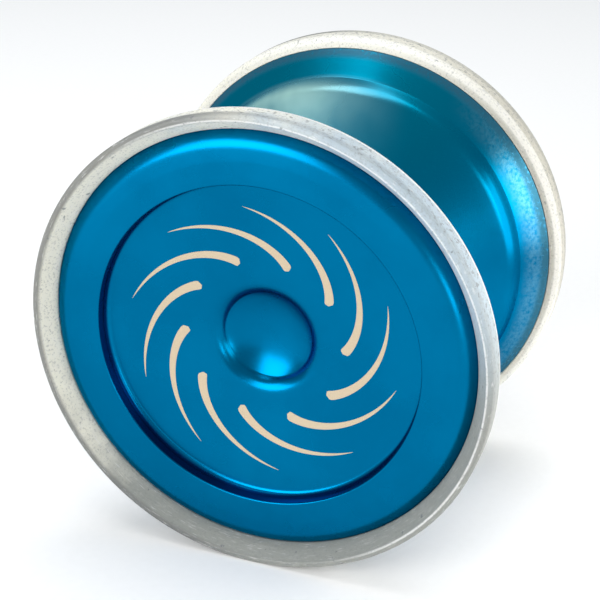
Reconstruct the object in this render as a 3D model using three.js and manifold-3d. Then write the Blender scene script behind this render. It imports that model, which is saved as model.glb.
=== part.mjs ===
// A full-size ball-bearing yo-yo: two anodised aluminium halves with clear plastic rims,
// screwed together on a steel axle with a size C ball bearing between them.
// Millimetres, +Z up. The yo-yo's own axis lies along Y and its front face looks to -Y.
// Each half is drawn as [radius, depth] pairs, depth being measured from the mid plane
// between the halves, and is mirrored to give the other half.

import * as THREE from "three";
import { mergeVertices } from "three/addons/utils/BufferGeometryUtils.js";
import Module from "manifold-3d";

// overall
const RADIUS = 28.0;
const HALF_WIDTH = 20.5;
const REST_LAND = 0.4;
const SEGMENTS = 48;

// cup face of each aluminium half, with a thin cap set into it
const FACE_EDGE_DEPTH = 18.25;
const ANNULUS_DEPTH = 19.4;
const STEP_RADIUS = 19.75;
const DISC_DEPTH = 17.45;
const DISH_RADIUS = 7.6;
const DISH_DEPTH = 15.93;
const DIMPLE_RADIUS = 5.3;
const DIMPLE_BOTTOM = 13.3;
const CAP_RADIUS = 19.7;
const CAP_SEAT = 16.15;
const CAP_LEDGE = 1.0;
const CAP_WALL = 1.2;
const CAP_LIFT = 0.02;

// hollow behind the cap, around the hub boss
const HOLLOW_RADIUS = STEP_RADIUS - CAP_LEDGE;
const BOSS_RADIUS = 4.6;
const BOSS_END = 10.9;

// seat of the plastic rim, which is pushed on from the face side against a shoulder
const SEAT_RADIUS = 25.8;
const SHOULDER_SEAT = 17.0;
const COLLAR_RADIUS = 26.6;
const COLLAR_DEPTH = 16.0;
const RIM_GAP = 0.03;

// string side
const STEP_EDGE_RADIUS = 23.55;
const STEP_EDGE_DEPTH = 13.25;
const RIDGE_RADIUS = 22.9;
const RIDGE_DEPTH = 11.2;
const WALL_DEPTH = 2.15;
const WALL_RADIUS = 10.2;

// response pad
const PAD_OUTER = 9.5;
const PAD_INNER = 7.05;
const PAD_SEAT = 3.15;
const PAD_FACE = 2.2;
const PAD_GAP = 0.03;

// size C bearing, 6.35 x 12.7 x 4.76
const BORE = 3.175;
const BEARING_RADIUS = 6.35;
const BEARING_HALF = 2.38;
const PITCH_RADIUS = 4.7625;
const BALL_RADIUS = 0.794;
const BALL_COUNT = 8;
const INNER_LAND = 4.3;
const OUTER_LAND = 5.25;
const RACE_GAP = 0.025;
const RACE_SEGMENTS = 32;
const SHIELD_SEAT = 1.75;
const SHIELD_RADIUS = 5.85;
const SHIELD_THICK = 0.2;
const CLIP_RADIUS = 5.98;
const CLIP_INNER = 5.5;
const CLIP_THICK = 0.16;
const CLIP_GAP_ANGLE = 0.35;
const CAGE_INNER = 4.47;
const CAGE_OUTER = 5.05;
const CAGE_OPEN_SIDE = -0.35;
const CAGE_WEB_SIDE = 1.25;
const CAGE_POCKET = 0.87;

// hub of each half
const POST_RADIUS = 3.15;
const POST_TIP = 0.35;
const SHOULDER_RADIUS = 4.1;
const SHOULDER_DEPTH = 2.39;
const RECESS_RADIUS = 6.55;
const RECESS_DEPTH = 2.7;
const AXLE_BORE = 2.04;
const AXLE_BORE_END = 8.4;
const DRILL_TIP = 1.1;

// M4 set screw that joins the halves
const AXLE_RADIUS = 2.0;
const AXLE_HALF_LENGTH = 8.0;
const AXLE_CHAMFER = 0.4;
const SOCKET_ACROSS_FLATS = 2.0;
const SOCKET_DEPTH = 2.2;

const wasm = await Module();
wasm.setup();

const FINISH = {
  anodised: { color: 0x0a7cb4, metalness: 0.9, roughness: 0.32 },
  plastic: { color: 0xe9e6dc, metalness: 0.0, roughness: 0.45, opacity: 0.75, transparent: true },
  steel: { color: 0xb9bcc0, metalness: 1.0, roughness: 0.25 },
  black_steel: { color: 0x2b2c2f, metalness: 0.8, roughness: 0.4 },
  silicone: { color: 0xdfe3e2, metalness: 0.0, roughness: 0.7 },
};

const assembly = new THREE.Group();
assembly.name = "yoyo";

function place(name, geometry, finish) {
  const mesh = new THREE.Mesh(geometry, new THREE.MeshStandardMaterial(FINISH[finish]));
  mesh.name = name;
  assembly.add(mesh);
}

// A profile of [radius, height] pairs turned once around Y. A flat facet faces straight down.
function revolve(profile, segments) {
  const points = profile.map(([radius, height]) => new THREE.Vector2(radius, height));
  if (THREE.ShapeUtils.area(points) < 0) {
    points.reverse();
  }
  return new THREE.LatheGeometry(points, segments, Math.PI / segments);
}

// Closes a ring's profile on itself.
function ring(profile, segments) {
  return revolve([...profile, profile[0]], segments);
}

// Turns depths from the mid plane into heights along Y, for the front (-1) or rear (+1) half.
function onSide(side, profile) {
  return profile.map(([radius, depth]) => [radius, side * depth]);
}

function toSolid(geometry) {
  geometry.deleteAttribute("normal");
  geometry.deleteAttribute("uv");
  const merged = mergeVertices(geometry, 1e-5);
  return new wasm.Manifold(
    new wasm.Mesh({
      numProp: 3,
      vertProperties: new Float32Array(merged.attributes.position.array),
      triVerts: new Uint32Array(merged.index.array),
    })
  );
}

function toGeometry(solid) {
  const mesh = solid.getMesh();
  const geometry = new THREE.BufferGeometry();
  geometry.setAttribute("position", new THREE.BufferAttribute(mesh.vertProperties, 3));
  geometry.setIndex(new THREE.BufferAttribute(mesh.triVerts, 1));
  geometry.computeVertexNormals();
  return geometry;
}

// Cap of a half: a thin, slightly dished disc with a finger dimple pressed into its middle.
function capProfile() {
  const outside = [
    [0, DIMPLE_BOTTOM],
    [1.8, DIMPLE_BOTTOM + 0.15],
    [3.4, DIMPLE_BOTTOM + 0.53],
    [4.6, DIMPLE_BOTTOM + 1.0],
    [DIMPLE_RADIUS, DIMPLE_BOTTOM + 1.35],
    [DIMPLE_RADIUS + 0.35, DISH_DEPTH - 0.88],
    [DIMPLE_RADIUS + 0.65, DISH_DEPTH - 0.48],
    [DIMPLE_RADIUS + 1.2, DISH_DEPTH - 0.18],
    [DISH_RADIUS, DISH_DEPTH],
    [CAP_RADIUS, DISC_DEPTH],
  ];
  const inside = [
    [CAP_RADIUS, CAP_SEAT + CAP_LIFT],
    [HOLLOW_RADIUS - 0.15, CAP_SEAT + CAP_LIFT],
    [DISH_RADIUS - 0.4, DISH_DEPTH - CAP_WALL],
    [6.2, DIMPLE_BOTTOM + 0.6],
    [4.0, DIMPLE_BOTTOM - 0.7],
    [0, DIMPLE_BOTTOM - CAP_WALL],
  ];
  return [...outside, ...inside];
}

// Face of a half from the axis outwards: boss, hollow, cap seat, step, annulus, rounded edge.
function faceProfile() {
  return [
    [0, BOSS_END],
    [BOSS_RADIUS, BOSS_END],
    [BOSS_RADIUS + 0.3, 6.2],
    [6.0, 5.1],
    [10.2, 5.2],
    [12.4, 6.1],
    [15.6, 8.5],
    [HOLLOW_RADIUS, 10.9],
    [HOLLOW_RADIUS, CAP_SEAT],
    [STEP_RADIUS, CAP_SEAT],
    [STEP_RADIUS, ANNULUS_DEPTH - 0.15],
    [STEP_RADIUS + 0.15, ANNULUS_DEPTH],
    [22.5, ANNULUS_DEPTH],
    [23.7, ANNULUS_DEPTH - 0.07],
    [24.5, ANNULUS_DEPTH - 0.23],
    [25.1, ANNULUS_DEPTH - 0.49],
    [25.55, ANNULUS_DEPTH - 0.83],
    [SEAT_RADIUS, FACE_EDGE_DEPTH],
  ];
}

// Seat of the plastic rim: a cylinder, its shoulder and the collar below. The rim keeps the gap.
function seatProfile(gap) {
  return [
    [SEAT_RADIUS + gap, SHOULDER_SEAT + gap],
    [COLLAR_RADIUS + gap, SHOULDER_SEAT + gap],
    [COLLAR_RADIUS + gap, COLLAR_DEPTH],
  ];
}

// String side of a half: step, ridge, catch slope, response wall, pad groove and bearing seat.
function stringProfile() {
  return [
    [STEP_EDGE_RADIUS, STEP_EDGE_DEPTH],
    [RIDGE_RADIUS + 0.25, RIDGE_DEPTH + 0.6],
    [RIDGE_RADIUS, RIDGE_DEPTH],
    [22.45, 10.85],
    [19.0, 8.55],
    [15.0, 5.8],
    [11.6, 3.3],
    [WALL_RADIUS + 0.4, WALL_DEPTH + 0.4],
    [WALL_RADIUS - 0.1, WALL_DEPTH],
    [PAD_OUTER, WALL_DEPTH],
    [PAD_OUTER, PAD_SEAT],
    [PAD_INNER, PAD_SEAT],
    [PAD_INNER, WALL_DEPTH],
    [RECESS_RADIUS, WALL_DEPTH],
    [RECESS_RADIUS, RECESS_DEPTH],
    [SHOULDER_RADIUS, RECESS_DEPTH],
    [SHOULDER_RADIUS, SHOULDER_DEPTH],
    [POST_RADIUS, SHOULDER_DEPTH],
    [POST_RADIUS, POST_TIP + 0.2],
    [POST_RADIUS - 0.2, POST_TIP],
    [AXLE_BORE, POST_TIP],
    [AXLE_BORE, AXLE_BORE_END],
    [0, AXLE_BORE_END + DRILL_TIP],
  ];
}

function body(side) {
  return revolve(onSide(side, [...faceProfile(), ...seatProfile(0), ...stringProfile()]), SEGMENTS);
}

function faceCap(side) {
  return revolve(onSide(side, capProfile()), SEGMENTS);
}

// Ring that covers the outer edge of a half, its face side opening in a cone around the metal.
function rim(side) {
  const outside = [
    [COLLAR_RADIUS + 0.75, COLLAR_DEPTH + 0.3],
    [RADIUS - 0.3, COLLAR_DEPTH + 0.62],
    [RADIUS - 0.06, COLLAR_DEPTH + 1.0],
    [RADIUS, COLLAR_DEPTH + 1.35],
    [RADIUS, HALF_WIDTH - 0.3],
    [RADIUS - 0.08, HALF_WIDTH - 0.08],
    [RADIUS - 0.3, HALF_WIDTH],
    [RADIUS - 0.3 - REST_LAND, HALF_WIDTH],
    [RADIUS - 0.85, HALF_WIDTH - 0.15],
    [SEAT_RADIUS + 0.15, FACE_EDGE_DEPTH + 0.2],
    [SEAT_RADIUS + RIM_GAP, FACE_EDGE_DEPTH],
  ];
  return ring(onSide(side, [...seatProfile(RIM_GAP), ...outside]), SEGMENTS);
}

function responsePad(side) {
  const profile = [
    [PAD_INNER + PAD_GAP, PAD_FACE],
    [PAD_OUTER - PAD_GAP, PAD_FACE],
    [PAD_OUTER - PAD_GAP, PAD_SEAT - PAD_GAP],
    [PAD_INNER + PAD_GAP, PAD_SEAT - PAD_GAP],
  ];
  return ring(onSide(side, profile), SEGMENTS);
}

// Set screw with a hexagon socket in its front end.
function axle() {
  const profile = [
    [0, -AXLE_HALF_LENGTH],
    [AXLE_RADIUS - AXLE_CHAMFER, -AXLE_HALF_LENGTH],
    [AXLE_RADIUS, -AXLE_HALF_LENGTH + AXLE_CHAMFER],
    [AXLE_RADIUS, AXLE_HALF_LENGTH - AXLE_CHAMFER],
    [AXLE_RADIUS - AXLE_CHAMFER, AXLE_HALF_LENGTH],
    [0, AXLE_HALF_LENGTH],
  ];
  const corner = SOCKET_ACROSS_FLATS / Math.sqrt(3);
  const socket = new THREE.CylinderGeometry(corner, corner, 2 * SOCKET_DEPTH, 6);
  socket.translate(0, -AXLE_HALF_LENGTH, 0);
  return toGeometry(toSolid(revolve(profile, RACE_SEGMENTS)).subtract(toSolid(socket)));
}

// Points of the ball groove in a race, from one edge of the land to the other.
function groove(land, outward) {
  const radius = BALL_RADIUS + RACE_GAP;
  const reach = Math.abs(land - PITCH_RADIUS);
  const half = Math.acos(reach / radius);
  const points = [];
  for (let step = -3; step <= 3; step += 1) {
    const angle = (half * step) / 3;
    points.push([PITCH_RADIUS + outward * radius * Math.cos(angle), radius * Math.sin(angle)]);
  }
  return points;
}

function innerRace() {
  return ring([
    [BORE, -BEARING_HALF],
    [INNER_LAND, -BEARING_HALF],
    ...groove(INNER_LAND, -1),
    [INNER_LAND, BEARING_HALF],
    [BORE, BEARING_HALF],
  ], RACE_SEGMENTS);
}

// The shield sits in a counterbore at each end, held by a clip in a groove outside it.
function outerRaceEnd() {
  const clipStart = SHIELD_SEAT + SHIELD_THICK + 0.02;
  const clipEnd = clipStart + CLIP_THICK + 0.04;
  return [
    [OUTER_LAND, SHIELD_SEAT],
    [SHIELD_RADIUS + 0.02, SHIELD_SEAT],
    [SHIELD_RADIUS + 0.02, clipStart],
    [CLIP_RADIUS + 0.03, clipStart],
    [CLIP_RADIUS + 0.03, clipEnd],
    [SHIELD_RADIUS + 0.02, clipEnd],
    [SHIELD_RADIUS + 0.02, BEARING_HALF],
    [BEARING_RADIUS - 0.15, BEARING_HALF],
    [BEARING_RADIUS, BEARING_HALF - 0.15],
  ];
}

function outerRace() {
  const end = outerRaceEnd();
  const mirrored = end.map(([radius, height]) => [radius, -height]).reverse();
  return ring([...mirrored, ...groove(OUTER_LAND, 1), ...end], RACE_SEGMENTS);
}

function ball(index) {
  const angle = (2 * Math.PI * index) / BALL_COUNT;
  const geometry = new THREE.SphereGeometry(BALL_RADIUS, 14, 8);
  geometry.translate(PITCH_RADIUS * Math.cos(angle), 0, PITCH_RADIUS * Math.sin(angle));
  return geometry;
}

// Crown cage: a ring with a round pocket around each ball, open at one side.
function cage() {
  const profile = [
    [CAGE_INNER, CAGE_OPEN_SIDE],
    [CAGE_OUTER, CAGE_OPEN_SIDE],
    [CAGE_OUTER, CAGE_WEB_SIDE],
    [CAGE_INNER, CAGE_WEB_SIDE],
  ];
  let solid = toSolid(ring(profile, RACE_SEGMENTS));
  for (let index = 0; index < BALL_COUNT; index += 1) {
    const angle = (2 * Math.PI * index) / BALL_COUNT;
    const pocket = new THREE.CylinderGeometry(CAGE_POCKET, CAGE_POCKET, 3, 20);
    pocket.rotateZ(Math.PI / 2);
    pocket.translate(PITCH_RADIUS, 0, 0);
    pocket.rotateY(-angle);
    solid = solid.subtract(toSolid(pocket));
  }
  return toGeometry(solid);
}

function shield(side) {
  const profile = [
    [INNER_LAND + 0.12, SHIELD_SEAT + 0.01],
    [SHIELD_RADIUS, SHIELD_SEAT + 0.01],
    [SHIELD_RADIUS, SHIELD_SEAT + SHIELD_THICK],
    [INNER_LAND + 0.12, SHIELD_SEAT + SHIELD_THICK],
  ];
  return ring(onSide(side, profile), RACE_SEGMENTS);
}

// Open spring clip, its gap at the top.
function shieldClip(side) {
  const start = Math.PI / 2 + CLIP_GAP_ANGLE / 2;
  const end = start + 2 * Math.PI - CLIP_GAP_ANGLE;
  const outline = new THREE.Shape();
  outline.absarc(0, 0, CLIP_RADIUS, start, end, false);
  outline.absarc(0, 0, CLIP_INNER, end, start, true);
  outline.closePath();
  const options = { depth: CLIP_THICK, bevelEnabled: false, curveSegments: 14 };
  const geometry = new THREE.ExtrudeGeometry(outline, options);
  geometry.rotateX(Math.PI / 2);
  const nearEdge = SHIELD_SEAT + SHIELD_THICK + 0.04;
  const shift = side > 0 ? nearEdge + CLIP_THICK : -nearEdge;
  geometry.translate(0, shift, 0);
  return geometry;
}

for (const [label, side] of [["front", -1], ["rear", 1]]) {
  place(`${label}_body`, body(side), "anodised");
  place(`${label}_face_cap`, faceCap(side), "anodised");
  place(`${label}_rim`, rim(side), "plastic");
  place(`${label}_response_pad`, responsePad(side), "silicone");
  place(`${label}_shield`, shield(side), "steel");
  place(`${label}_shield_clip`, shieldClip(side), "steel");
}
place("axle", axle(), "black_steel");
place("bearing_inner_race", innerRace(), "steel");
place("bearing_outer_race", outerRace(), "steel");
place("bearing_cage", cage(), "steel");
for (let index = 0; index < BALL_COUNT; index += 1) {
  place(`bearing_ball_${index + 1}`, ball(index), "steel");
}

export default assembly;
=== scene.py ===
"""A ball-bearing yo-yo: anodised aluminium halves with scuffed clear plastic rims, on a pale floor."""

import math

import bmesh
import bpy
from mathutils import Matrix, Vector

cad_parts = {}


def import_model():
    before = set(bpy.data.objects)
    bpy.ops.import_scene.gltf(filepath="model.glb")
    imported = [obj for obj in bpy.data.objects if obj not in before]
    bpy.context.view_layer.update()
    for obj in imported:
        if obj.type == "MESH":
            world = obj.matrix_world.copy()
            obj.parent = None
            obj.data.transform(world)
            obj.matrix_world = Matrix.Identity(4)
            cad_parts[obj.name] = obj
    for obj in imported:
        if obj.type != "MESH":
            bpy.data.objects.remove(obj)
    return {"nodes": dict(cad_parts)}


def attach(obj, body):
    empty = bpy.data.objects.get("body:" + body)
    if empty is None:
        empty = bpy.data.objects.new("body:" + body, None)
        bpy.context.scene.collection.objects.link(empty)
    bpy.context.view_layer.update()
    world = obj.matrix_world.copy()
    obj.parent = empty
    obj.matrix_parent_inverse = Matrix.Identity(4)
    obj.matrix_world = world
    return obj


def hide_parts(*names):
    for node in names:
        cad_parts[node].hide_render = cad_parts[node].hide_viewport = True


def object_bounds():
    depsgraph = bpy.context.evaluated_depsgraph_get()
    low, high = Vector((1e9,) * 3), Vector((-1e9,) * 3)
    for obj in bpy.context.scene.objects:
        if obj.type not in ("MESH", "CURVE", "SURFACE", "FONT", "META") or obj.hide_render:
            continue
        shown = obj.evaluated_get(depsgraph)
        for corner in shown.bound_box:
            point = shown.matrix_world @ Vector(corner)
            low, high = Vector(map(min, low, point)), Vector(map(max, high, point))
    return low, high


MM = 0.001
FRONT, REAR = -1, 1

# ---------------------------------------------------------------- sizes

# camera: angles in degrees, lengths in millimetres
CAMERA_AZIMUTH = 20.17
CAMERA_ELEVATION = 24.43
CAMERA_ROLL = 0.89
CAMERA_DISTANCE = 175.6
CAMERA_ASIDE = 1.52
CAMERA_ABOVE = 1.57
CAMERA_LENS = 84.0
CAMERA_SENSOR = 36.0
CAMERA_NEAREST = 10.0

# floor, in metres
FLOOR_HALF_WIDTH = 1.5
FLOOR_DIVISIONS = 8

# lights: name, place and size in metres, brightness, colour
SOFTBOXES = [
    ("key_light", (-0.26, -0.52, 0.225), (0.40, 0.40), 5.5, (1.0, 1.0, 1.0)),
    ("top_light", (-0.07, 0.05, 0.52), (0.50, 0.28), 3.0, (1.0, 1.0, 1.0)),
    ("right_card", (0.085, 0.015, 0.017), (0.062, 0.050), 3.4, (1.0, 0.97, 0.9)),
    ("side_light", (0.46, -0.19, 0.12), (0.16, 0.22), 4.2, (1.0, 0.95, 0.86)),
    ("front_strip", (0.30, -0.385, 0.006), (0.12, 0.075), 8.0, (1.0, 0.98, 0.94)),
]
ROOM_COLOUR = (0.93, 0.97, 1.0, 1)
ROOM_BRIGHTNESS = 0.58

# the finger dimple's floor, part of a sphere, in millimetres
BOWL_BOTTOM = 13.3
BOWL_RADIUS = 11.1
BOWL_REACH = 5.3
BOWL_STEPS = 8

# profiles of a half: (radius, depth from the mid plane, fillet at that corner), in millimetres
CAP = [
    (5.42, 14.74, 0.0),  # edge of the dimple's floor
    (6.08, 15.74, 2.2),  # rounded lip of the dimple
    (19.62, 17.44, 0.7),  # outer edge of the disc
    (19.7, 18.15, 0.0),  # thin upstand beside the step
    (19.72, 18.15, 0.0),
    (19.72, 16.17, 0.0),  # underside, on the ledge
    (18.6, 16.17, 0.5),
    (7.2, 14.73, 1.0),  # underside of the disc and of the dimple
    (6.2, 13.9, 1.0),
    (4.0, 12.6, 1.0),
    (0.0, 12.1, 0.0),
]
FACE = [
    (0.0, 10.9, 0.0),  # end of the hub boss, inside the hollow
    (4.6, 10.9, 0.3),
    (4.9, 5.1, 1.0),  # floor of the hollow
    (10.2, 5.1, 1.0),
    (18.75, 11.0, 1.0),  # outer wall of the hollow
    (18.75, 16.15, 0.0),  # ledge for the cap
    (19.75, 16.15, 0.0),
    (19.75, 19.4, 0.2),  # wall of the step
    (22.4, 19.4, 0.0),  # flat ring of the face
    (22.5, 19.398, 0.0),
    (22.6, 19.392, 0.0),
    (24.8, 19.27, 2.4),  # rounded edge of the face
    (25.8, 18.04, 0.0),  # seat of the rim
    (25.8, 17.0, 0.0),
    (26.6, 17.0, 0.0),  # shoulder behind the rim
]
STRING_SIDE = [
    (26.6, 16.0, 0.06),  # outer edge of the string side
    (23.55, 13.25, 0.12),  # foot of the outer slope
    (22.85, 11.15, 2.6),  # ridge
    (15.0, 5.8, 12.0),  # slope down to the string gap
    (10.3, 2.25, 0.8),
    (9.9, 2.15, 0.1),  # wall of the string gap
    (9.5, 2.15, 0.0),  # groove of the response pad
    (9.5, 3.15, 0.0),
    (7.05, 3.15, 0.0),
    (7.05, 2.15, 0.05),  # lip around the bearing
    (6.55, 2.15, 0.05),
    (6.55, 2.7, 0.0),  # recess behind the bearing
    (4.1, 2.7, 0.0),
    (4.1, 2.39, 0.0),  # shoulder that the inner race stands on
    (3.15, 2.39, 0.0),
    (3.15, 0.35, 0.15),  # post inside the inner race
    (2.04, 0.35, 0.0),  # bore for the axle
    (2.04, 8.4, 0.0),
    (0.0, 9.5, 0.0),
]
RIM = [
    (25.83, 18.2, 0.0),  # bore, on the seat
    (25.83, 17.03, 0.0),
    (26.63, 17.03, 0.0),  # over the shoulder
    (26.63, 16.0, 0.08),  # back edge, rounded to the outside
    (27.35, 16.3, 0.3),
    (27.85, 16.75, 0.3),
    (28.0, 17.3, 0.4),
    (28.0, 20.5, 0.6),  # front land
    (27.25, 20.5, 0.3),
    (25.95, 18.42, 0.08),  # foot of the cone, beside the metal
]
PAD = [
    (7.08, 2.2, 0.08),
    (9.47, 2.2, 0.08),
    (9.47, 3.12, 0.0),
    (7.08, 3.12, 0.0),
]

# the disc that carries the mark is a shallow cone, in millimetres
DISC_RADIUS = 19.7
DISC_DEPTH = 17.45
DISC_SLOPE = 0.1256

# pinwheel on each face, in millimetres
MARK_COUNT = 10
MARK_INNER = 9.6
MARK_OUTER = 16.6
MARK_SWEEP = math.radians(62)
MARK_CURL = 1.15
MARK_WIDTH = 1.15
MARK_TAPER = 0.75
MARK_ROUND_END = 0.055
MARK_TIP = 0.012
MARK_STEPS = 40
MARK_PROUD = 0.012

# M4 set screw, in millimetres
AXLE_HALF_LENGTH = 8.0
AXLE_RADIUS = 2.0
AXLE_ROOT = 1.6
AXLE_PITCH = 0.7
AXLE_FLANK = 1.2
AXLE_ROWS = 184
AXLE_SEGMENTS = 48
SOCKET_ACROSS_FLATS = 2.0
SOCKET_DEPTH = 2.2

# how finely shapes are drawn, lengths in millimetres
LATHE_SEGMENTS = 192
LONGEST_STRAIGHT = 1.2
ON_AXIS = 1e-6
FILLET_STEP = math.radians(7)
NEARLY_STRAIGHT = math.radians(89.5)
SHARE_BETWEEN_FILLETS = 0.49
SHARE_BESIDE_CORNER = 0.98
SHARP_EDGE = math.radians(28)

# ---------------------------------------------------------------- colours, wear, and painted light and shade

# linear red, green, blue and alpha
ANODISED_BLUE = ((0.0, 0.122, 0.266, 1), (0.0, 0.140, 0.300, 1))
ANODISED_GLOSS = (0.25, 0.7, 0.9, 1)
ETCHED_CREAM = ((0.46, 0.37, 0.25, 1), (0.54, 0.44, 0.31, 1))
# painted light: cream where the front rim is lit, on its left
FRONT_CREAM_PAINTED_LIGHT = (0.98, 0.95, 0.82, 1)
# painted shade: grey on the rest of the front rim, warm and darker below, lighter grey-blue above
FRONT_GREY_PAINTED_SHADE = ((0.33, 0.34, 0.31, 1), (0.52, 0.63, 0.71, 1))
# the rear rim's cream, and a darker copy of it as painted shade on its right
REAR_CREAM_AND_PAINTED_SHADE = ((0.84, 0.82, 0.72, 1), (0.54, 0.52, 0.45, 1))
# painted shade on the front land of the rims, darker at the left
LAND_PAINTED_SHADE = (0.13, 0.135, 0.13, 1)
# white on the rims' edges at the upper right: wear and painted highlight
WHITE_EDGE_WEAR_AND_HIGHLIGHT = (0.96, 0.96, 0.95, 1)
SPECK_GREY = (0.22, 0.23, 0.23, 1)
RUBBER_GREY = ((0.60, 0.62, 0.60, 1), (0.78, 0.80, 0.78, 1))
PAPER_WHITE = ((0.92, 0.92, 0.92, 1), (0.96, 0.96, 0.96, 1))
BEARING_STEEL = (0.70, 0.71, 0.72, 1)
CAGE_STEEL = (0.55, 0.54, 0.52, 1)
BLACK_STEEL = (0.045, 0.045, 0.05, 1)

# a tint laid over the colour below it, and its strength
# painted reflection: a greener, lighter teal laid on the upper left of the rear string side
TEAL_PAINTED_REFLECTION = ((0.0, 0.175, 0.280, 1), 1.0)
FROST_BLUE = ((0.25, 0.50, 0.60, 1), 0.2)
# painted shade in the corner at the foot of the face's step
STEP_PAINTED_SHADE = ((0.0, 0.03, 0.14, 1), 0.6)
# dust, and a painted hazy reflection of a soft light, on the upper left of the string side
DUST_AND_SHEEN_GREEN = ((0.33, 0.54, 0.49, 1), 1.0)
# painted shade in a band where the plastic rim overlaps the metal on the string side
RIM_PAINTED_SHADE = ((0.02, 0.10, 0.16, 1), 1.0)
PIT_GREY = ((0.13, 0.14, 0.16, 1), 0.6)
SCRATCH_WHITE = ((0.92, 0.92, 0.91, 1), 0.55)
NICK_GREY = ((0.16, 0.17, 0.18, 1), 0.7)

# zones: a coordinate, and the metres where the zone begins to show and where it is full
REAR_HALF = (("y", 0.0, 0.002),)
# where the dust and the painted hazy reflection lie: the upper left of the inner slope
DUST_AND_SHEEN_ZONE = (
    ("z", 0.012, 0.022),
    ("x", 0.009, -0.012),
    ("radius", 0.0240, 0.0226),
    ("radius", 0.0100, 0.0130),
)
# where the painted shade lies, on the step's wall and the cap's edge beside it
STEP_SHADE_ZONE = (("radius", 0.01985, 0.01975), ("radius", 0.0194, 0.0196), ("depth", 0.0155, 0.0160))
# where the painted shade at the rim lies
RIM_SHADE_ZONE = (("radius", 0.0254, 0.0262),)
FROST_ZONE = (("radius", 0.0236, 0.0250), ("x", 0.012, 0.020))
# zones of painted shade on the rims: grey-blue above on the front rim, darker at the left on the land, darker
# at the right on the rear rim
RIM_UPPER = (("z", -0.005, 0.012),)
RIM_LEFT = (("x", 0.004, -0.010),)
RIM_RIGHT = (("x", 0.004, 0.022), ("z", -0.012, 0.0))
RIM_OUTSIDE = (("radius", 0.0270, 0.0278),)
LAND_ZONE = (("radius", 0.02700, 0.02735), ("depth", 0.0188, 0.0196))
FLANK_ZONE = (("radius", 0.0277, 0.0279), ("depth", 0.0203, 0.0200))
# edges whitened at the upper right, by wear and painted highlight
CREST_ZONE = (("radius", 0.02712, 0.02725), ("radius", 0.02748, 0.02735), ("depth", 0.0200, 0.0203))
CORNER_ZONE = (("radius", 0.0270, 0.0275), ("depth", 0.01765, 0.01735))

# slanted zones: how far one coordinate counts against another, and the span in metres
STRING_SIDE_LEAN = 0.6
STRING_SIDE_SPAN = (-0.0023, -0.0017)
# lean and span of the painted reflection tint, towards the upper left
REFLECTION_TINT_LEAN = 0.7
REFLECTION_TINT_SPAN = (-0.012, 0.020)
# lean, random patches and span of the front rim's painted light, cream towards the left
RIM_LIGHT_LEAN = -0.8
RIM_LIGHT_PATCHES = 0.04
RIM_LIGHT_SPAN = (-0.034, -0.005)
# lean and span of the white edges, towards the upper right
WHITE_EDGE_LEAN = 0.6
WHITE_EDGE_SPAN = (-0.008, 0.008)

# levels of a noise between which a patch or a mark starts and is full
BLUE_LEVELS = (0.35, 0.65)
ROUGH_LEVELS = (0.3, 0.7)
DUST_AND_SHEEN_LEVELS = (0.15, 0.60)
RIM_SHADE_LEVELS = (0.20, 0.50)
FROST_LEVELS = (0.25, 0.65)
PIT_LEVELS = (0.55, 0.64)
SPECK_LEVELS = (0.52, 0.66)
NICK_LEVELS = (0.68, 0.74)
SCRATCH_LEVELS = (0.54, 0.72)

# how much each kind of wear, painted shade or painted highlight hides the metal, darkens or whitens the
# plastic, or changes its finish
DUST_AND_SHEEN_COVER = 0.8
RIM_SHADE_COVER = 0.5
FROST_COVER = 0.03
METAL_ROUGHNESS = 0.25
METAL_ROUGHER = 0.05
# how much painted shade lies on the land, and how much more at the left
LAND_SHADE_AMOUNT = 0.3
LAND_SHADE_MORE_AT_LEFT = 0.62
CREST_WHITENING = 0.6
CORNER_WHITENING = 0.9
CORNER_LESS_AT_REAR = 0.5
SPECK_DARK = 0.38
SCRATCHES_DRAWN_OUT = 9.0
PLASTIC_ROUGHNESS = 0.32
SCRATCH_ROUGHNESS = 0.30
PLASTIC_CLEAR = 0.28
OUTSIDE_LESS_CLEAR = 0.13
NICK_LESS_CLEAR = 0.14
NICK_DEPTH = 0.6


# ---------------------------------------------------------------- geometry


def fillet(before, corner, after, radius, share_before, share_after):
    """Points of an arc of that radius between two straight runs, or the corner itself."""
    a = (before - corner).normalized()
    b = (after - corner).normalized()
    half = a.angle(b) / 2
    if radius <= 0 or half > NEARLY_STRAIGHT:
        return [corner]
    reach = min(radius / math.tan(half),
                share_before * (before - corner).length,
                share_after * (after - corner).length)
    radius = reach * math.tan(half)
    centre = corner + (a + b).normalized() * (radius / math.sin(half))
    start = corner + a * reach - centre
    turn = math.pi - 2 * half
    steps = max(2, math.ceil(turn / FILLET_STEP))
    sign = 1 if start.cross(corner + b * reach - centre) > 0 else -1
    arc = []
    for step in range(steps + 1):
        angle = sign * turn * step / steps
        c, s = math.cos(angle), math.sin(angle)
        arc.append(centre + Vector((c * start.x - s * start.y, s * start.x + c * start.y)))
    return arc


def share(corner):
    """How much of the run beside a corner its neighbour's fillet may take up."""
    return SHARE_BETWEEN_FILLETS if corner[2] else SHARE_BESIDE_CORNER


def rounded(corners, closed):
    """A profile with its corners rounded, as points of (radius, depth)."""
    points = [Vector((r, d)) for r, d, _ in corners]
    out = []
    for i, (_, _, radius) in enumerate(corners):
        if not closed and i in (0, len(corners) - 1):
            out.append(points[i])
            continue
        j = (i + 1) % len(points)
        shares = share(corners[i - 1]), share(corners[j])
        out += fillet(points[i - 1], points[i], points[j], radius, *shares)
    return out


def subdivided(profile):
    """Splits long straight runs, so that shading stays even across them."""
    out = [profile[0]]
    for a, b in zip(profile, profile[1:]):
        parts = max(1, math.ceil((b - a).length / LONGEST_STRAIGHT))
        out += [a.lerp(b, (k + 1) / parts) for k in range(parts)]
    return out


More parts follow.
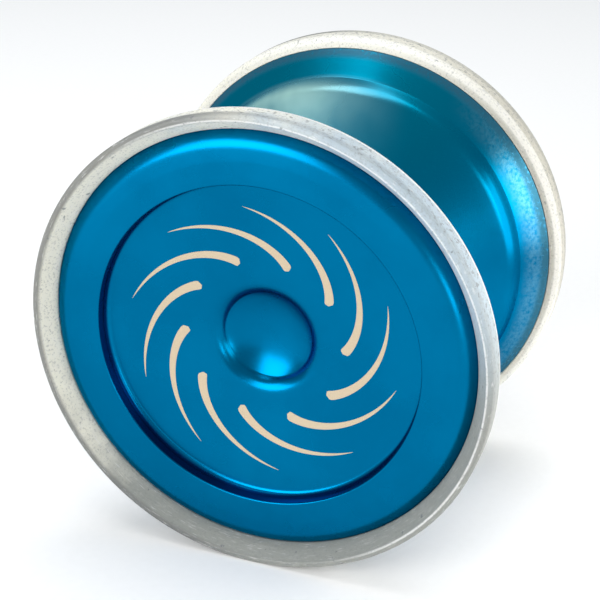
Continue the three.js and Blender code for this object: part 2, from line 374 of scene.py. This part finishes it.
def add_ring(mesh, depth, radii):
    """A ring of vertices about the axis at a depth, one for each radius, in millimetres."""
    ring = []
    for k, radius in enumerate(radii):
        angle = 2 * math.pi * k / len(radii)
        x, z = radius * math.cos(angle), radius * math.sin(angle)
        ring.append(mesh.verts.new((x * MM, depth * MM, z * MM)))
    return ring


def join_rings(mesh, a, b):
    """Faces between two rings, of which one may be a single vertex on the axis."""
    count = max(len(a), len(b))
    for k in range(count):
        n = (k + 1) % count
        if len(a) == 1:
            mesh.faces.new((a[0], b[n], b[k]))
        elif len(b) == 1:
            mesh.faces.new((a[k], a[n], b[0]))
        else:
            mesh.faces.new((a[k], a[n], b[n], b[k]))


def finish_mesh(name, mesh):
    """Turns a bmesh into a smooth-shaded object with its sharp edges kept, normals facing out."""
    bmesh.ops.recalc_face_normals(mesh, faces=mesh.faces)
    for face in mesh.faces:
        face.smooth = True
    for edge in mesh.edges:
        edge.smooth = len(edge.link_faces) != 2 or edge.calc_face_angle(0.0) < SHARP_EDGE
    data = bpy.data.meshes.new(name)
    mesh.to_mesh(data)
    mesh.free()
    piece = bpy.data.objects.new(name, data)
    bpy.context.scene.collection.objects.link(piece)
    return piece


def lathe(name, corners, side, closed):
    """Turns a profile once round the yo-yo's axis, for the front or the rear half."""
    profile = rounded(corners, closed)
    profile = subdivided(profile + profile[:1] if closed else profile)
    if closed:
        profile.pop()
    mesh = bmesh.new()
    rings = []
    for point in profile:
        radii = [0.0] if point.x < ON_AXIS else [point.x] * LATHE_SEGMENTS
        rings.append(add_ring(mesh, side * point.y, radii))
    pairs = list(zip(rings, rings[1:]))
    if closed:
        pairs.append((rings[-1], rings[0]))
    for a, b in pairs:
        join_rings(mesh, a, b)
    return finish_mesh(name, mesh)


def bowl():
    """The finger dimple's floor, as corners of a profile."""
    corners = []
    for step in range(BOWL_STEPS + 1):
        radius = BOWL_REACH * step / BOWL_STEPS
        rise = BOWL_RADIUS - math.sqrt(BOWL_RADIUS ** 2 - radius ** 2)
        corners.append((radius, BOWL_BOTTOM + rise, 0.0))
    return corners


def stroke_edges(start):
    """Both long edges of one arc of the pinwheel, round at its inner end and pointed outside."""
    lower, upper = [], []
    for step in range(MARK_STEPS + 1):
        t = step / MARK_STEPS
        radius = MARK_INNER + (MARK_OUTER - MARK_INNER) * t
        angle = start + MARK_SWEEP * t ** MARK_CURL
        outward = Vector((math.cos(angle), math.sin(angle)))
        onward = Vector((-math.sin(angle), math.cos(angle)))
        centre = outward * radius
        along = onward * radius * MARK_SWEEP + outward * (MARK_OUTER - MARK_INNER)
        across = Vector((-along.y, along.x)).normalized()
        round_end = math.sqrt(max(0.0, 1 - (1 - min(1.0, t / MARK_ROUND_END)) ** 2))
        half_width = MARK_WIDTH * round_end * (1 - t) ** MARK_TAPER / 2 + MARK_TIP
        lower.append(centre - across * half_width)
        upper.append(centre + across * half_width)
    return lower, upper


def add_stroke(mesh, start, side):
    """One arc of the pinwheel, as a thin slab that follows the disc's cone."""
    lower, upper = stroke_edges(start)
    top, bottom = [], []
    for p in lower + upper[::-1]:
        surface = DISC_DEPTH - (DISC_RADIUS - p.length) * DISC_SLOPE
        for outline, offset in ((top, MARK_PROUD), (bottom, -MARK_PROUD)):
            outline.append(mesh.verts.new((p.x * MM, side * (surface + offset) * MM, p.y * MM)))
    last = len(top) - 1
    for outline in (top, bottom):
        for k in range(len(lower) - 1):
            mesh.faces.new((outline[k], outline[k + 1], outline[last - k - 1], outline[last - k]))
    for k in range(len(top)):
        n = (k + 1) % len(top)
        mesh.faces.new((top[k], top[n], bottom[n], bottom[k]))


def face_mark(name, side):
    """The pinwheel of one face."""
    mesh = bmesh.new()
    for k in range(MARK_COUNT):
        add_stroke(mesh, 2 * math.pi * k / MARK_COUNT, side)
    return finish_mesh(name, mesh)


def thread_radius(depth, turn):
    """Radius of the set screw's thread at a depth and a fraction of a turn about the axis."""
    phase = (depth / AXLE_PITCH + turn) % 1.0
    flank = min(1.0, AXLE_FLANK * abs(2 * phase - 1))
    chamfer = AXLE_ROOT + AXLE_HALF_LENGTH - abs(depth)
    return min(AXLE_ROOT + (AXLE_RADIUS - AXLE_ROOT) * flank, chamfer)


def hexagon_radius(turn):
    """Distance from the axis to the wall of the hexagon socket at a fraction of a turn."""
    sixth = math.pi / 3
    angle = (2 * math.pi * turn + sixth / 2) % sixth - sixth / 2
    return SOCKET_ACROSS_FLATS / 2 / math.cos(angle)


def threaded_axle(name):
    """The set screw, with its thread and the hexagon socket in its front end."""
    turns = [k / AXLE_SEGMENTS for k in range(AXLE_SEGMENTS)]
    socket = [hexagon_radius(turn) for turn in turns]
    mesh = bmesh.new()
    rings = [add_ring(mesh, SOCKET_DEPTH - AXLE_HALF_LENGTH, socket)]
    rings.append(add_ring(mesh, -AXLE_HALF_LENGTH, socket))
    for row in range(AXLE_ROWS + 1):
        depth = AXLE_HALF_LENGTH * (2 * row / AXLE_ROWS - 1)
        rings.append(add_ring(mesh, depth, [thread_radius(depth, turn) for turn in turns]))
    for a, b in zip(rings, rings[1:]):
        join_rings(mesh, a, b)
    for end in (rings[0], rings[-1]):
        mesh.faces.new(end)
    return finish_mesh(name, mesh)


# ---------------------------------------------------------------- materials


class Nodes:
    """A short way to write a material's node graph."""

    def __init__(self, name):
        self.material = bpy.data.materials.new(name)
        self.material.use_nodes = True
        self.tree = self.material.node_tree
        self.shader = self.tree.nodes["Principled BSDF"]
        self.position = self.add("ShaderNodeTexCoord").outputs["Object"]

    def measure(self):
        """Finds x, y and z, the distance from the yo-yo's axis, and the depth from its mid plane."""
        parts = self.add("ShaderNodeSeparateXYZ", {"Vector": self.position}).outputs
        self.x, self.y, self.z = parts["X"], parts["Y"], parts["Z"]
        squares = self.total(self.product(self.x, self.x), self.product(self.z, self.z))
        self.radius = self.math("SQRT", squares)
        self.depth = self.math("ABSOLUTE", self.y)

    def set(self, **values):
        """Sets the shader's own sockets, with _ for each space in a name."""
        for key, value in values.items():
            self.shader.inputs[key.replace("_", " ")].default_value = value

    def link(self, output, key):
        self.tree.links.new(output, self.shader.inputs[key])

    def feed(self, socket, value):
        """Links an output to a socket, or sets the socket to a constant."""
        if isinstance(value, bpy.types.NodeSocket):
            self.tree.links.new(value, socket)
        else:
            socket.default_value = value

    def add(self, kind, inputs=None, **settings):
        node = self.tree.nodes.new(kind)
        for key, value in settings.items():
            setattr(node, key, value)
        for key, value in (inputs or {}).items():
            self.feed(node.inputs[key], value)
        return node

    def math(self, operation, a, b=0.0, clamp=False):
        return self.add("ShaderNodeMath", {0: a, 1: b}, operation=operation, use_clamp=clamp).outputs[0]

    def product(self, first, *others):
        for other in others:
            first = self.math("MULTIPLY", first, other)
        return first

    def total(self, first, *others):
        for other in others:
            first = self.math("ADD", first, other)
        return first

    def vector(self, **parts):
        return self.add("ShaderNodeCombineXYZ", parts).outputs[0]

    def noise(self, vector, scale, detail=3.0, roughness=0.55):
        inputs = {"Vector": vector, "Scale": scale, "Detail": detail, "Roughness": roughness}
        return self.add("ShaderNodeTexNoise", inputs).outputs["Fac"]

    def ramp(self, value, low, high):
        """0 at low and before it, 1 at high and beyond it, with a soft start and end."""
        inputs = {"Value": value, "From Min": low, "From Max": high}
        return self.add("ShaderNodeMapRange", inputs, interpolation_type="SMOOTHSTEP").outputs["Result"]

    def zone(self, terms):
        """1 inside a zone and 0 outside it."""
        return self.product(*(self.ramp(getattr(self, name), low, high) for name, low, high in terms))

    def mix(self, factor, a, b):
        node = self.add("ShaderNodeMix", data_type="RGBA")
        for socket, value in ((0, factor), (6, a), (7, b)):
            self.feed(node.inputs[socket], value)
        return node.outputs[2]

    def tint(self, below, mask, look):
        """Lays a tint over a colour where the mask is."""
        colour, strength = look
        return self.mix(self.product(mask, strength), below, colour)

    def bump(self, height, strength, distance, normal=None):
        inputs = {"Height": height, "Strength": strength, "Distance": distance}
        if normal is not None:
            inputs["Normal"] = normal
        return self.add("ShaderNodeBump", inputs).outputs["Normal"]


def string_side_wear_and_painted_light(n):
    """Masks of the string side: a painted reflection tint, dust with a painted hazy reflection, painted shade
    where the rim meets the metal, and frost.
    """
    leaning = n.product(n.radius, STRING_SIDE_LEAN)
    string_side = n.ramp(n.math("SUBTRACT", leaning, n.depth), *STRING_SIDE_SPAN)
    behind = n.zone(REAR_HALF)
    # painted reflection: a teal tint towards the upper left of the rear string side
    upper_left = n.math("SUBTRACT", n.z, n.product(n.x, REFLECTION_TINT_LEAN))
    painted_reflection_tint = n.product(n.ramp(upper_left, *REFLECTION_TINT_SPAN), behind, string_side)
    # dust towards the upper left of the string side, which also stands in as a painted hazy reflection
    dust_and_sheen_cloud = n.ramp(n.noise(n.position, scale=90.0), *DUST_AND_SHEEN_LEVELS)
    dust = n.product(n.zone(DUST_AND_SHEEN_ZONE), string_side, dust_and_sheen_cloud)
    # painted shade in a speckled band where the rim meets the metal
    rim_shade_grain = n.ramp(n.noise(n.position, scale=2600.0, roughness=0.6), *RIM_SHADE_LEVELS)
    painted_rim_shade = n.product(n.zone(RIM_SHADE_ZONE), string_side, rim_shade_grain)
    frost_grain = n.ramp(n.noise(n.position, scale=2200.0, roughness=0.6), *FROST_LEVELS)
    frost = n.product(n.zone(FROST_ZONE), string_side, behind, frost_grain)
    return painted_reflection_tint, dust, painted_rim_shade, frost


def anodised_aluminium():
    """Bead-blasted blue anodising over faint turning marks, dusty and frosted on the string side, with a
    painted reflection and haze on its upper left and painted shade at the step and at the rim.
    """
    n = Nodes("anodised_aluminium")
    n.measure()
    cloud = n.noise(n.position, scale=70.0, detail=4.0)
    painted_reflection_tint, dust, painted_rim_shade, frost = string_side_wear_and_painted_light(n)
    colour = n.mix(n.ramp(cloud, *BLUE_LEVELS), *ANODISED_BLUE)
    # laid in turn: a painted reflection tint, frost, painted shade at the step, dust with painted haze, and
    # painted shade at the rim
    colour = n.tint(colour, painted_reflection_tint, TEAL_PAINTED_REFLECTION)
    colour = n.tint(colour, frost, FROST_BLUE)
    colour = n.tint(colour, n.zone(STEP_SHADE_ZONE), STEP_PAINTED_SHADE)
    colour = n.tint(colour, dust, DUST_AND_SHEEN_GREEN)
    n.link(n.tint(colour, painted_rim_shade, RIM_PAINTED_SHADE), "Base Color")
    dulled = ((dust, DUST_AND_SHEEN_COVER), (painted_rim_shade, RIM_SHADE_COVER), (frost, FROST_COVER))
    covered = n.total(*(n.product(mask, cover) for mask, cover in dulled))
    n.link(n.math("SUBTRACT", 1.0, covered, clamp=True), "Metallic")
    rougher = n.product(n.ramp(cloud, *ROUGH_LEVELS), METAL_ROUGHER)
    n.link(n.total(METAL_ROUGHNESS, rougher), "Roughness")
    n.set(Specular_Tint=ANODISED_GLOSS)
    turning = n.noise(n.vector(X=n.radius, Y=n.depth), scale=5200.0, detail=2.0)
    grain = n.noise(n.position, scale=9000.0, detail=2.0, roughness=0.7)
    blasted = n.bump(grain, strength=0.10, distance=0.00002)
    n.link(n.bump(turning, strength=0.12, distance=0.00001, normal=blasted), "Normal")
    return n.material


def etched_mark():
    """Matt pale metal where the anodising was burned off."""
    n = Nodes("etched_mark")
    speckle = n.noise(n.position, scale=6000.0)
    n.link(n.mix(speckle, *ETCHED_CREAM), "Base Color")
    n.set(Metallic=0.15, Roughness=0.55)
    n.link(n.bump(speckle, strength=0.2, distance=0.00002), "Normal")
    return n.material


def rim_colour(n):
    """The plastic's broad colours: cream painted light on the front rim's left, grey painted shade on the
    rest of it, painted shade on the rear rim's right and on the land.
    """
    cloud = n.noise(n.position, scale=150.0, detail=4.0, roughness=0.6)
    patches = n.product(n.math("SUBTRACT", cloud, 0.5), RIM_LIGHT_PATCHES)
    below_axis = n.math("MINIMUM", n.z, 0.0)
    # painted light: cream towards the left, grey towards the right and below, with random patches
    painted_light_and_patches = n.total(n.product(n.x, RIM_LIGHT_LEAN), n.y, below_axis, patches)
    painted_shade_grey = n.mix(n.zone(RIM_UPPER), *FRONT_GREY_PAINTED_SHADE)
    front = n.mix(n.ramp(painted_light_and_patches, *RIM_LIGHT_SPAN), painted_shade_grey, FRONT_CREAM_PAINTED_LIGHT)
    # painted shade: the rear rim darker on its right, apart from its lowest part
    rear = n.mix(n.zone(RIM_RIGHT), *REAR_CREAM_AND_PAINTED_SHADE)
    colour = n.mix(n.zone(REAR_HALF), front, rear)
    # painted shade on the land, darker at the left
    land_shade = n.total(LAND_SHADE_AMOUNT, n.product(n.zone(RIM_LEFT), LAND_SHADE_MORE_AT_LEFT))
    return n.mix(n.product(n.zone(LAND_ZONE), land_shade), colour, LAND_PAINTED_SHADE)


def rim_edges(n, colour):
    """Lays pits on the plastic's flank, and white edges at its upper right, of wear and painted highlight."""
    pits = n.ramp(n.noise(n.position, scale=1900.0, roughness=0.6), *PIT_LEVELS)
    colour = n.tint(colour, n.product(n.zone(FLANK_ZONE), pits), PIT_GREY)
    # white edges towards the upper right: wear and painted highlight
    upper_right = n.ramp(n.total(n.x, n.product(n.z, WHITE_EDGE_LEAN)), *WHITE_EDGE_SPAN)
    less_at_rear = n.product(n.zone(REAR_HALF), CORNER_LESS_AT_REAR)
    corner_whitening = n.math("SUBTRACT", CORNER_WHITENING, less_at_rear)
    corner = n.product(n.zone(CORNER_ZONE), corner_whitening)
    wear_and_highlight = n.math("ADD", n.product(n.zone(CREST_ZONE), CREST_WHITENING), corner, clamp=True)
    return n.mix(n.product(wear_and_highlight, upper_right), colour, WHITE_EDGE_WEAR_AND_HIGHLIGHT)


def scuffed_plastic():
    """Clear plastic frosted by wear: scratches that run round it, cream painted light and grey painted shade
    with random patches, white edges of wear and painted highlight, nicks.
    """
    n = Nodes("scuffed_plastic")
    n.measure()
    across = n.product(n.total(n.radius, n.depth), SCRATCHES_DRAWN_OUT)
    around = n.vector(X=n.x, Y=across, Z=n.z)
    scratches = n.noise(around, scale=650.0, detail=5.0, roughness=0.7)
    specks = n.ramp(n.noise(n.position, scale=3600.0, roughness=0.6), *SPECK_LEVELS)
    specks = n.product(specks, SPECK_DARK)
    nicks = n.ramp(n.noise(n.position, scale=1100.0, detail=2.0, roughness=0.5), *NICK_LEVELS)
    colour = n.mix(specks, rim_edges(n, rim_colour(n)), SPECK_GREY)
    colour = n.tint(colour, n.ramp(scratches, *SCRATCH_LEVELS), SCRATCH_WHITE)
    n.link(n.tint(colour, nicks, NICK_GREY), "Base Color")
    n.link(n.total(PLASTIC_ROUGHNESS, n.product(scratches, SCRATCH_ROUGHNESS)), "Roughness")
    outside = n.product(n.zone(RIM_OUTSIDE), OUTSIDE_LESS_CLEAR)
    clear = n.math("SUBTRACT", PLASTIC_CLEAR, outside)
    n.link(n.math("SUBTRACT", clear, n.product(nicks, NICK_LESS_CLEAR)), "Transmission Weight")
    n.set(IOR=1.58, Subsurface_Weight=0.35, Subsurface_Radius=(0.0015, 0.0015, 0.0012))
    relief = n.math("SUBTRACT", scratches, n.total(n.product(nicks, NICK_DEPTH), specks))
    n.link(n.bump(relief, strength=0.4, distance=0.00005), "Normal")
    return n.material


def steel(name, colour, roughness):
    """Turned or ground steel with a fine grain."""
    n = Nodes(name)
    n.measure()
    darker = tuple(0.86 * c for c in colour[:3]) + (1,)
    n.link(n.mix(n.noise(n.position, scale=900.0), darker, colour), "Base Color")
    n.set(Metallic=1.0, Roughness=roughness)
    streaks = n.noise(n.vector(X=n.radius, Y=n.depth), scale=7000.0, detail=2.0)
    n.link(n.bump(streaks, strength=0.08, distance=0.00001), "Normal")
    return n.material


def silicone():
    """Soft pale rubber with a dusty surface."""
    n = Nodes("silicone")
    dust = n.noise(n.position, scale=1200.0, detail=4.0)
    n.link(n.mix(dust, *RUBBER_GREY), "Base Color")
    n.set(Roughness=0.7, Subsurface_Weight=0.2, Subsurface_Radius=(0.001, 0.001, 0.001))
    n.link(n.bump(dust, strength=0.3, distance=0.00005), "Normal")
    return n.material


def floor_paper():
    """Matt white paper with a faint fibre."""
    n = Nodes("floor_paper")
    fibre = n.noise(n.position, scale=900.0, detail=4.0)
    n.link(n.mix(fibre, *PAPER_WHITE), "Base Color")
    n.set(Roughness=0.9)
    return n.material


# ---------------------------------------------------------------- scene


def view_axes():
    """Right, up and back of the camera, as it is rolled."""
    a, e, roll = (math.radians(v) for v in (CAMERA_AZIMUTH, CAMERA_ELEVATION, CAMERA_ROLL))
    right = Vector((math.cos(a), math.sin(a), 0.0))
    up = Vector((-math.sin(a) * math.sin(e), math.cos(a) * math.sin(e), math.cos(e)))
    back = Vector((math.sin(a) * math.cos(e), -math.cos(a) * math.cos(e), math.sin(e)))
    c, s = math.cos(roll), math.sin(roll)
    return right * c + up * s, up * c - right * s, back


def add_camera():
    right, up, back = view_axes()
    place = (back * CAMERA_DISTANCE - right * CAMERA_ASIDE - up * CAMERA_ABOVE) * MM
    data = bpy.data.cameras.new("camera")
    data.lens = CAMERA_LENS
    data.sensor_width = CAMERA_SENSOR
    data.clip_start = CAMERA_NEAREST * MM
    camera = bpy.data.objects.new("camera", data)
    camera.matrix_world = Matrix.Translation(place) @ Matrix((right, up, back)).transposed().to_4x4()
    bpy.context.scene.collection.objects.link(camera)
    bpy.context.scene.camera = camera


def add_floor(height):
    """A sheet of paper that the yo-yo stands on."""
    mesh = bmesh.new()
    bmesh.ops.create_grid(mesh, x_segments=FLOOR_DIVISIONS, y_segments=FLOOR_DIVISIONS, size=FLOOR_HALF_WIDTH)
    floor = finish_mesh("floor", mesh)
    floor.location.z = height
    floor.data.materials.append(floor_paper())


def add_softbox(name, place, size, brightness, colour):
    """A rectangular soft light at a place, facing the yo-yo."""
    data = bpy.data.lights.new(name, "AREA")
    data.shape = "RECTANGLE"
    data.size, data.size_y = size
    data.energy = brightness * math.pi * data.size * data.size_y
    data.color = colour
    light = bpy.data.objects.new(name, data)
    light.location = place
    light.rotation_euler = Vector(place).to_track_quat("Z", "Y").to_euler()
    light.visible_camera = False
    bpy.context.scene.collection.objects.link(light)


def add_lights():
    """The room's even light, and the soft lights in it."""
    world = bpy.data.worlds.new("studio")
    world.use_nodes = True
    background = world.node_tree.nodes["Background"]
    background.inputs["Color"].default_value = ROOM_COLOUR
    background.inputs["Strength"].default_value = ROOM_BRIGHTNESS
    bpy.context.scene.world = world
    bpy.context.scene.view_settings.view_transform = "Standard"
    for softbox in SOFTBOXES:
        add_softbox(*softbox)


def build_half(label, side, metal, plastic, rubber, mark):
    """One half: body, cap, rim, response pad and the mark on its face."""
    body_name = f"{label}_half"
    shapes = (
        (f"{label}_body", FACE + STRING_SIDE, False, metal, "anodised_aluminium"),
        (f"{label}_face_cap", bowl() + CAP, False, metal, "anodised_aluminium"),
        (f"{label}_rim", RIM, True, plastic, "clear_plastic"),
        (f"{label}_response_pad", PAD, True, rubber, "silicone"),
    )
    for node, corners, closed, material, slot in shapes:
        piece = lathe(f"{node}_surface", corners, side, closed)
        piece.data.materials.append(material)
        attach(piece, body_name)
        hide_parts(node)
    pinwheel = face_mark(f"{label}_face_mark", side)
    pinwheel.data.materials.append(mark)
    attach(pinwheel, body_name)


def build_axle(black):
    """The set screw, fixed in the front half."""
    screw = threaded_axle("axle_thread")
    screw.data.materials.append(black)
    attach(screw, "front_half")
    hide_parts("axle")


def paint_nodes(frame):
    """Gives the CAD pieces their metals. The bearing's are the ones that stay in sight."""
    polished = steel("bearing_steel", BEARING_STEEL, 0.18)
    pressed = steel("cage_steel", CAGE_STEEL, 0.34)
    for name, node in frame["nodes"].items():
        node.data.materials.clear()
        node.data.materials.append(pressed if name == "bearing_cage" else polished)


def main():
    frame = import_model()
    cad_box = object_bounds()
    add_camera()
    add_floor(cad_box[0][2])
    add_lights()
    paint_nodes(frame)
    build_axle(steel("black_steel", BLACK_STEEL, 0.42))
    looks = (anodised_aluminium(), scuffed_plastic(), silicone(), etched_mark())
    for label, side in (("front", FRONT), ("rear", REAR)):
        build_half(label, side, *looks)


main()
